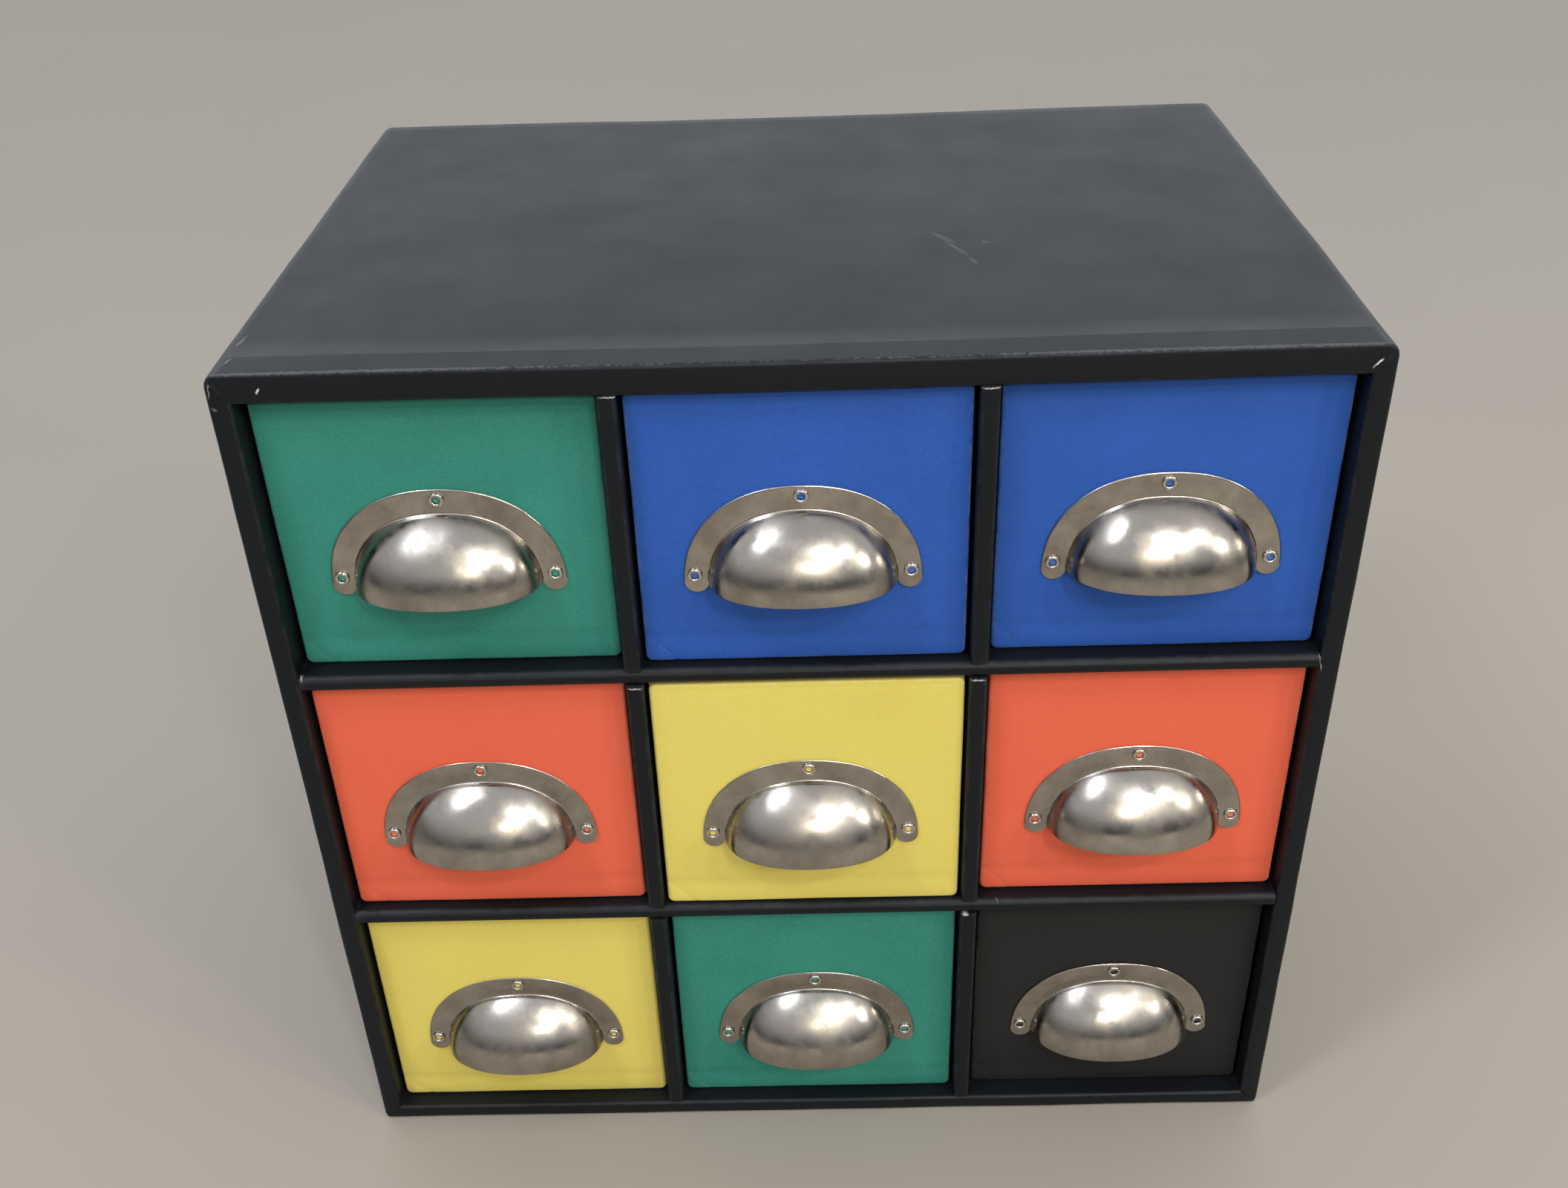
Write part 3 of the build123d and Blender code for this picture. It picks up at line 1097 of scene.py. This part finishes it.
    def press_ears(self) -> None:
        """Round off the two lower ends of the flange."""
        lip, across = self.lip, self.plan(self.foot)
        radius = (self.half_width + self.flange_width - across) / 2
        foot_y = lip.y - self.foot * MM
        last_turn = math.radians(self.ear_last_degrees)
        turns = [last_turn * step / self.ear_steps for step in range(self.ear_steps + 1)]
        for side in (-1, 1):
            centre = Vector((lip.x + side * (across + radius) * MM, lip.y - PULL_SHEET * MM, lip.z))
            pick(self.skin, Element.EDGE, lambda edge: edge_lies(edge, z=lip.z) and edge.is_boundary and all(
                side * (vert.co.x - lip.x) > 0 and vert.co.y > foot_y - NEAR for vert in edge.verts))
            for last, turn in pairwise(turns):
                extrude_edges(z=-radius * (math.sin(turn) - math.sin(last)))
                # The first step also presses the fillet and the rolled rim flat
                resize(centre, x=math.cos(turn) / math.cos(last), y=1.0 if last else 0.0)

    def face_out(self) -> None:
        """Turn the skin's faces out of the drawer if they look into the cup."""
        if sum(face.normal.y * face.area for face in self.skin.data.polygons) > 0:
            edit(self.skin)
            bpy.ops.mesh.select_all(action="SELECT")
            bpy.ops.mesh.flip_normals()
            leave_edit()


@dataclass
class TubularRivet:
    """Hollow rivets: a rolled ring over the flange, a tube through the board and a clenched ring inside.

    Sizes are in millimetres.
    """

    bore_radius: float = 1.2
    tube_radius: float = 1.6
    head_radius: float = 2.45
    head_height: float = 1.0
    head_sink: float = 0.2
    tail_radius: float = 2.4
    tail_height: float = 0.5
    ear_x: float = 34.5
    ear_up: float = 2.5
    top_up: float = 30.3
    ring_steps: int = 40
    section_points: int = 16

    def axis_points(self, lip: Vector) -> list[Vector]:
        """Give the places in metres where the three rivets' axes meet the drawer front."""
        places = ((-self.ear_x, self.ear_up), (self.ear_x, self.ear_up), (0.0, self.top_up))
        return [lip + Vector((across * MM, 0, up * MM)) for across, up in places]

    def model_ring(self, middle: Vector, outer_radius: float, height: float) -> Piece:
        """Spin a rounded section into a ring round a rivet's axis.

        Args:
            middle: Middle of the ring, on the rivet's axis.
            outer_radius: The ring's outer radius.
            height: Its height along the axis.

        Returns:
            The ring, in object mode.
        """
        section = middle + X_AXIS * (self.bore_radius + outer_radius) / 2 * MM
        ring = start(bpy.ops.mesh.primitive_circle_add, "rivet_ring", vertices=self.section_points, radius=MM,
                     location=section)
        bpy.ops.mesh.select_all(action="SELECT")
        resize(section, x=(outer_radius - self.bore_radius) / 2, y=height / 2)
        bpy.ops.mesh.spin(steps=self.ring_steps, angle=2 * math.pi, center=middle, axis=Y_AXIS)
        close_seams()
        leave_edit()
        return ring

    def model_tube(self, axis_point: Vector) -> Piece:
        """Model the tube between a rivet's two rings.

        Args:
            axis_point: Where the rivet's axis meets the drawer front.

        Returns:
            The tube, in object mode.
        """
        tube = start(
            bpy.ops.mesh.primitive_cylinder_add, "rivet_tube", vertices=self.ring_steps,
            radius=self.tube_radius * MM, depth=(DRAWER_BOARD + PULL_SHEET) * MM, end_fill_type="NOTHING",
            location=axis_point + Y_AXIS * (DRAWER_BOARD - PULL_SHEET) / 2 * MM, rotation=(math.pi / 2, 0, 0))
        leave_edit()
        apply_modifier(tube, "SOLIDIFY", thickness=(self.tube_radius - self.bore_radius) * MM, offset=-1.0)
        return tube

    def model(self, lip: Vector) -> Piece:
        """Model a pull's three rivets.

        Args:
            lip: The middle of the pull's lip on the drawer front.

        Returns:
            The rivets as one piece.
        """
        parts = []
        for point in self.axis_points(lip):
            head = point - Y_AXIS * (PULL_SHEET + (self.head_height - self.head_sink) / 2) * MM
            tail = point + Y_AXIS * (DRAWER_BOARD + self.tail_height / 2) * MM
            parts.append(self.model_ring(head, self.head_radius, self.head_height + self.head_sink))
            parts.append(self.model_ring(tail, self.tail_radius, self.tail_height))
            parts.append(self.model_tube(point))
        return join_pieces(parts)


@dataclass
class Drawer:
    """Board drawers covered with coloured paper: a soft-edged front, a tray, a pull and its rivets.

    Sizes are in millimetres. The first drawer's pieces are the patterns that every drawer is copied from.
    """

    materials: dict[Slot, Material]
    pull: CupPull = field(default_factory=CupPull)
    rivet: TubularRivet = field(default_factory=TubularRivet)
    corner_round: float = 2.5
    face_round: float = 1.2
    rim_round: float = 0.7
    bend_spacing: float = 6.0
    ripple_height: float = 0.35
    ripple_size: float = 38.0
    crease_up: float = 11.0
    crease_depth: float = 0.1
    crease_spread: float = 3.0
    tuck_reach: float = 11.0
    tuck_spread: float = 1.6
    tuck_depth: float = 0.17
    plug_radius: float = 1.15
    plug_stand: float = 0.3
    plug_round: float = 0.3
    plug_points: int = 24
    patterns: list[Piece] = field(default_factory=list)
    pattern_lip: Vector | None = None

    def model_front(self, place: str, lip: Vector) -> Piece:
        """Model a front board with rounded corners, softened edges, a crease, and plugs in its rivets.

        Args:
            place: The drawer that it is sized from.
            lip: The middle of its pull's lip.

        Returns:
            The front, in object mode.
        """
        low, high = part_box(f"{place}_drawer_front")
        low = Vector((low.x, lip.y, low.z))
        front = start_block("drawer_front_pattern", low, high)
        round_off(front, self.corner_round, WIDE_STEPS,
                  lambda edge: is_sharp(edge) and runs_along(edge, Y_AXIS))
        round_off(front, self.face_round, NARROW_STEPS,
                  lambda edge: edge_lies(edge, y=low.y) and is_sharp(edge))
        slice_evenly(X_AXIS, low, high, self.bend_spacing)
        slice_evenly(Z_AXIS, low, high, self.bend_spacing)
        crease = low.z + self.crease_up * MM
        slice_at(Z_AXIS, *(crease + side * self.crease_spread * MM for side in (-1, 0, 1)))
        pick(front, Element.VERTEX, lambda vert: is_near(vert.co.z, crease) and is_near(vert.co.y, low.y))
        move(y=self.crease_depth)
        self.tuck_corner(front, low)
        leave_edit()
        return join_pieces([front, *(self.model_plug(point) for point in self.rivet.axis_points(lip))])

    def model_plug(self, axis_point: Vector) -> Piece:
        """Model the slug of board and paper that stays in a rivet's bore.

        Args:
            axis_point: Where the rivet's axis meets the drawer front.

        Returns:
            The plug, in object mode.
        """
        depth = (PULL_SHEET + self.plug_stand) * MM
        plug = start(
            bpy.ops.mesh.primitive_cylinder_add, "rivet_plug", vertices=self.plug_points,
            radius=self.plug_radius * MM, depth=depth, location=axis_point - Y_AXIS * depth / 2,
            rotation=(math.pi / 2, 0, 0))
        round_off(plug, self.plug_round, FINE_STEPS,
                  lambda edge: edge_lies(edge, y=axis_point.y - depth) and is_sharp(edge))
        leave_edit()
        return plug

    def tuck_corner(self, front: Piece, corner: Vector) -> None:
        """Press the diagonal crease of a folded paper corner into a front.

        Args:
            front: The front, open in edit mode.
            corner: Its lower left corner, where the paper is folded.
        """
        across = (X_AXIS + Z_AXIS).normalized()
        for shift in (-self.tuck_spread, 0.0, self.tuck_spread):
            cut(corner + Z_AXIS * (self.tuck_reach + shift) * MM, across)
        middle = corner + Z_AXIS * self.tuck_reach * MM
        pick(front, Element.VERTEX, lambda vert: is_near((vert.co - middle).dot(across), 0.0)
             and vert.co.y < corner.y + self.face_round * MM)
        move(y=self.tuck_depth)

    def model_tray(self, place: str) -> Piece:
        """Model the tray behind a front: two sides, a back and a bottom with a soft rim.

        Args:
            place: The drawer that it is sized from.

        Returns:
            The tray, in object mode.
        """
        low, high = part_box(f"{place}_drawer_walls")
        tray = start_block("drawer_tray_pattern", low, high)
        pick(tray, Element.FACE, lambda face: face.normal.z > ALONG or face.normal.y < -ALONG)
        bpy.ops.mesh.delete(type="FACE")
        leave_edit()
        apply_modifier(tray, "SOLIDIFY", thickness=DRAWER_BOARD * MM, offset=-1.0, use_even_offset=True)
        edit(tray)
        round_off(tray, self.rim_round, NARROW_STEPS,
                  lambda edge: edge_lies(edge, z=high.z) and is_sharp(edge))
        fence_edges(low, high, WEAR_AND_SHEEN_WIDTH)
        fence_edges(low, high, DRAWER_BOARD * MM + WEAR_AND_SHEEN_WIDTH)
        leave_edit()
        return tray

    def build(self, place: str, paper: Slot) -> None:
        """Build and dress one drawer with its pull and rivets.

        Args:
            place: The drawer's place in the cabinet.
            paper: The slot of its paper.
        """
        lip = self.pull.lip_point(place)
        if self.pattern_lip is None:
            self.pattern_lip = lip
            self.patterns = [self.model_front(place, lip), self.model_tray(place),
                             self.pull.model(lip), self.rivet.model(lip)]
        kinds = (
            ("drawer_front_paper", paper, ("drawer_front",)),
            ("drawer_tray", paper, ("drawer_walls", "drawer_bottom")),
            ("cup_pull_pressed", Slot.NICKEL, ("cup_pull",)),
            ("pull_rivets_rolled", Slot.RIVET, ("pull_rivets",)),
        )
        for pattern, (name, slot, nodes) in zip(self.patterns, kinds):
            piece = copy_piece(pattern, f"{place}_{name}", lip - self.pattern_lip)
            if name == "drawer_front_paper":
                ripple(piece, self.ripple_size, self.ripple_height)
            finish_piece(piece, f"{place}_drawer", slot, self.materials[slot],
                         [f"{place}_{node}" for node in nodes])

    def clear_patterns(self) -> None:
        """Delete the patterns that the drawers were copied from."""
        for pattern in self.patterns:
            remove_piece(pattern)


@dataclass
class SoftBox:
    """A soft studio lamp: a lit rectangle aimed at a point. Sizes and places are in metres."""

    name: str
    place: Triple
    width: float
    height: float
    watts: float
    hex_colour: str = "#FFFFFF"
    aim: Triple = (0.0, -0.1, 0.16)

    def build(self) -> None:
        """Hang the lamp."""
        data = bpy.data.lights.new(self.name, "AREA")
        data.shape = "RECTANGLE"
        data.size, data.size_y = self.width, self.height
        data.energy = self.watts
        data.color = linear(self.hex_colour)[:3]
        lamp = bpy.data.objects.new(self.name, data)
        lamp.location = self.place
        lamp.rotation_euler = (Vector(self.aim) - Vector(self.place)).to_track_quat("-Z", "Y").to_euler()
        bpy.context.scene.collection.objects.link(lamp)


@dataclass
class Studio:
    """Pale floor, soft light and the camera at the photograph's view. Places are in metres."""

    floor_size: float = 12.0
    floor_up: float = -0.0005
    camera_place: Triple = (0.00378, -0.54794, 0.52018)
    camera_near: float = 0.01
    yaw_degrees: float = 1.355
    pitch_degrees: float = 57.24
    roll_degrees: float = -2.127
    lens_mm: float = 36.42
    sensor_mm: float = 36.0
    sky_hex: str = "#E4E8F0"
    # The sky's strength in front, low down and high up, and behind the cabinet
    sky_front: Span = (0.15, 0.9)
    sky_rear: float = 1.6
    # Where it changes, as the upward and the backward part of the direction
    sky_up_span: Span = (0.05, 0.5)
    sky_back_span: Span = (-0.2, 0.5)
    lamps: tuple[SoftBox, ...] = (
        SoftBox("ceiling_strip_left", (-0.95, -0.85, 2.0), 0.3, 0.62, 15.5, "#E6EEFF"),
        SoftBox("ceiling_panel_middle", (0.42, -1.4, 1.75), 0.3, 0.1, 6.0),
        SoftBox("ceiling_panel_right", (1.15, -1.2, 1.7), 0.16, 0.12, 6.0),
        SoftBox("ceiling_panel_front", (0.65, -1.65, 1.6), 0.12, 0.12, 6.0),
        SoftBox("far_panel_front", (0.25, -2.0, 1.35), 0.2, 0.06, 9.0, "#FFF6E6"),
        SoftBox("far_panel_right", (1.7, -1.05, 1.2), 0.2, 0.3, 8.0, "#FFFBF2"),
        SoftBox("far_panel_side", (2.1, -0.25, 0.7), 0.16, 0.16, 2.0, "#FFF6E6"),
    )

    def build(self) -> None:
        """Build the floor, the light and the camera."""
        floor = start(bpy.ops.mesh.primitive_plane_add, "floor", size=self.floor_size,
                      location=(0, 0, self.floor_up))
        leave_edit()
        floor.data.materials.append(PaleFloor().make())
        self.build_sky()
        for lamp in self.lamps:
            lamp.build()
        self.build_camera()

    def build_sky(self) -> None:
        """Light the scene from all round: pale behind the cabinet, dimmer low down before it."""
        world = bpy.data.worlds.new("studio_sky")
        world.use_nodes = True
        tree = world.node_tree
        tree.nodes.clear()
        heading = add_node(tree, "ShaderNodeTexCoord").outputs["Generated"]
        parts = add_node(tree, "ShaderNodeSeparateXYZ", {0: heading}).outputs
        front = spread(tree, parts["Z"], self.sky_up_span, self.sky_front, "SMOOTHSTEP")
        behind = spread(tree, parts["Y"], self.sky_back_span, curve="SMOOTHSTEP")
        sky = add_node(tree, "ShaderNodeBackground", {
            "Color": linear(self.sky_hex),
            "Strength": mix(tree, Blend.FLOAT, behind, front, self.sky_rear)})
        add_node(tree, "ShaderNodeOutputWorld", {"Surface": sky.outputs[0]})
        bpy.context.scene.world = world

    def build_camera(self) -> None:
        """Set the camera at the photograph's view."""
        data = bpy.data.cameras.new("photo_view")
        data.sensor_fit = "HORIZONTAL"
        data.sensor_width = self.sensor_mm
        data.lens = self.lens_mm
        data.clip_start = self.camera_near
        camera = bpy.data.objects.new("photo_view", data)
        camera.location = self.camera_place
        turn = (Quaternion(Z_AXIS, math.radians(self.yaw_degrees))
                @ Quaternion(X_AXIS, math.radians(self.pitch_degrees))
                @ Quaternion(Z_AXIS, math.radians(self.roll_degrees)))
        camera.rotation_euler = turn.to_euler()
        bpy.context.scene.collection.objects.link(camera)
        bpy.context.scene.camera = camera


def main() -> None:
    """Build the cabinet on its frame, dress it, and set the studio round it."""
    bpy.context.scene.view_settings.view_transform = "Standard"
    materials = {slot: finish.make() for slot, finish in FINISHES.items()}
    Carcass(materials[Slot.BLACK]).build()
    drawers = Drawer(materials)
    for place, paper in DRAWER_SLOTS.items():
        drawers.build(place, paper)
    drawers.clear_patterns()
    Studio().build()


if __name__ == "__main__":
    main()
